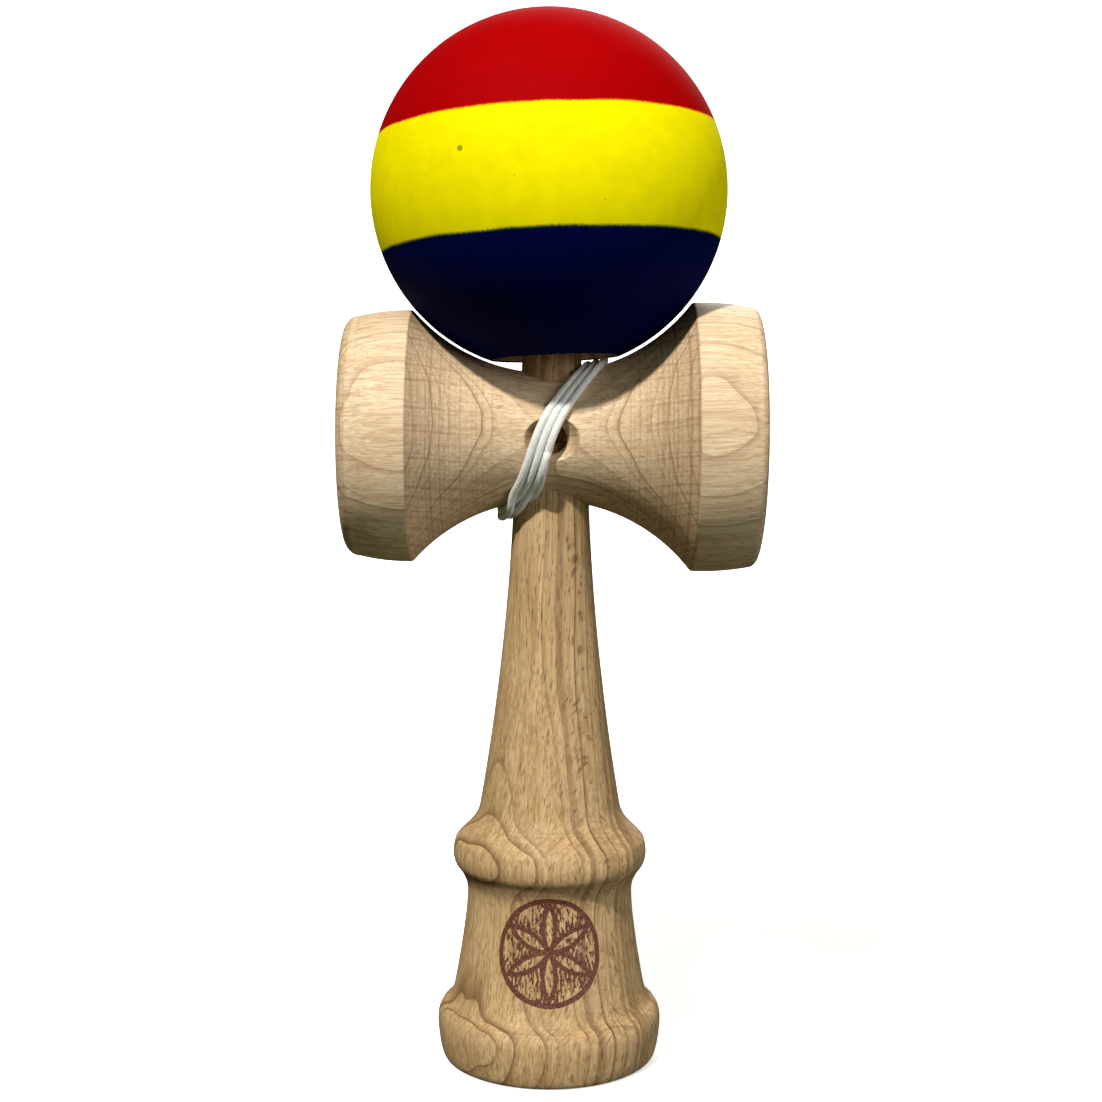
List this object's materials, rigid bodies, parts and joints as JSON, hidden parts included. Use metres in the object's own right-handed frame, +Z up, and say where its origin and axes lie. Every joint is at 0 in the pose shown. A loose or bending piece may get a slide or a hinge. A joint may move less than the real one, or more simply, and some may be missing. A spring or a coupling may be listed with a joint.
{
  "type": "kendama",
  "caption": "Wooden cup-and-ball toy: a turned handle with a spike and a base cup, a two-cup crosspiece, and a striped ball on a string.",
  "frame": {"origin": "middle of the base rim's resting plane, on the handle's axis", "axes": "+Z up along the handle towards the spike; +X along the crosspiece towards the big cup; the string's exit hole faces -Y"},
  "size_m": [0.0696, 0.0614, 0.1803],
  "materials": {
    "beech_handle": "bare turned beech, fine sanded, no lacquer",
    "beech_crosspiece": "bare turned beech, fine sanded, no lacquer",
    "beech_ball": "bare turned beech inside the bore",
    "red_rubber_paint": "matte sprayed rubber paint",
    "yellow_rubber_paint": "matte sprayed rubber paint",
    "blue_rubber_paint": "matte sprayed rubber paint",
    "bead_wood": "bare turned bead",
    "string": "white braided nylon cord"
  },
  "bodies": {
    "handle": {"ken": "beech_handle", "sarado": "beech_crosspiece", "ken_knot": "string", "string_exit": "string", "string_wrap": "string"},
    "bead": {"bead": "bead_wood", "bead_knot": "string", "string_run": "string"},
    "ball": {"ball": "beech_ball", "paint_red": "red_rubber_paint", "paint_yellow": "yellow_rubber_paint", "paint_blue": "blue_rubber_paint"}
  },
  "joints": [
    {"name": "ball_lift", "type": "slide", "parent": "handle", "child": "bead", "axis": [0, 0, 1], "range_m": [0, 0.045]},
    {"name": "ball_spin", "type": "hinge", "parent": "bead", "child": "ball", "pos_m": [-0.0006, 0, 0.1493], "axis": [-0.0436, 0.0523, 0.9977], "continuous": true}
  ]
}
